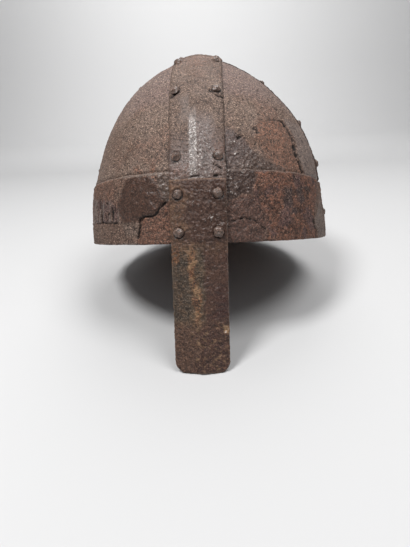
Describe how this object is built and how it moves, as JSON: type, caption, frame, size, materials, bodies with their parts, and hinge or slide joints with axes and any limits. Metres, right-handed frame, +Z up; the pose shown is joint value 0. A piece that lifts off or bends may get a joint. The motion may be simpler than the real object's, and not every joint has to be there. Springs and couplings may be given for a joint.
{
  "type": "banded helmet with nasal",
  "caption": "Corroded iron banded helmet with a riveted brow band, crossing bands, dome plates and a long nasal, resting on its nasal tip and rim.",
  "frame": {"origin": "middle of the helmet's outline seen from above, on the surface that it rests on", "axes": "+Z up, -Y the helmet's front with its nasal, +X the wearer's left; the helmet is tipped back about X as it rests on its nasal tip and the back of its rim"},
  "size_m": [0.2194, 0.2826, 0.2026],
  "materials": {
    "plate_iron": "old iron sheet with fine brown rust speckle and flaked scale",
    "side_band_iron": "old iron sheet, brown and finely pitted",
    "centre_band_iron": "old iron sheet, grey brown with a worn, shinier fold",
    "brow_band_iron": "deeply rusted iron with flaked layers, red brown and near black",
    "nasal_iron": "dark purple brown rust, glossy in places, with orange streaks",
    "rivet_iron": "dark iron rivet heads with worn crowns"
  },
  "bodies": {
    "root": {"centre_band": "centre_band_iron", "side_band_left": "side_band_iron", "side_band_right": "side_band_iron", "brow_band": "brow_band_iron", "nasal": "nasal_iron", "plate_back_left": "plate_iron", "plate_back_right": "plate_iron", "plate_front_left": "plate_iron", "plate_front_right": "plate_iron", "rivet_brow_back_left_1": "rivet_iron", "rivet_brow_back_left_2": "rivet_iron", "rivet_brow_back_right_1": "rivet_iron", "rivet_brow_back_right_2": "rivet_iron", "rivet_brow_front_left_1": "rivet_iron", "rivet_brow_front_left_2": "rivet_iron", "rivet_brow_front_right_1": "rivet_iron", "rivet_brow_front_right_2": "rivet_iron", "rivet_centre_back_left_1": "rivet_iron", "rivet_centre_back_left_2": "rivet_iron", "rivet_centre_back_left_3": "rivet_iron", "rivet_centre_back_right_1": "rivet_iron", "rivet_centre_back_right_2": "rivet_iron", "rivet_centre_back_right_3": "rivet_iron", "rivet_centre_front_left_1": "rivet_iron", "rivet_centre_front_left_2": "rivet_iron", "rivet_centre_front_left_3": "rivet_iron", "rivet_centre_front_right_1": "rivet_iron", "rivet_centre_front_right_2": "rivet_iron", "rivet_centre_front_right_3": "rivet_iron", "rivet_crown_back_left": "rivet_iron", "rivet_crown_back_right": "rivet_iron", "rivet_crown_front_left": "rivet_iron", "rivet_crown_front_right": "rivet_iron", "rivet_foot_left_back": "rivet_iron", "rivet_foot_left_front": "rivet_iron", "rivet_foot_right_back": "rivet_iron", "rivet_foot_right_front": "rivet_iron", "rivet_side_left_back_1": "rivet_iron", "rivet_side_left_back_2": "rivet_iron", "rivet_side_left_back_3": "rivet_iron", "rivet_side_left_front_1": "rivet_iron", "rivet_side_left_front_2": "rivet_iron", "rivet_side_left_front_3": "rivet_iron", "rivet_side_right_back_1": "rivet_iron", "rivet_side_right_back_2": "rivet_iron", "rivet_side_right_back_3": "rivet_iron", "rivet_side_right_front_1": "rivet_iron", "rivet_side_right_front_2": "rivet_iron", "rivet_side_right_front_3": "rivet_iron"}
  },
  "joints": []
}
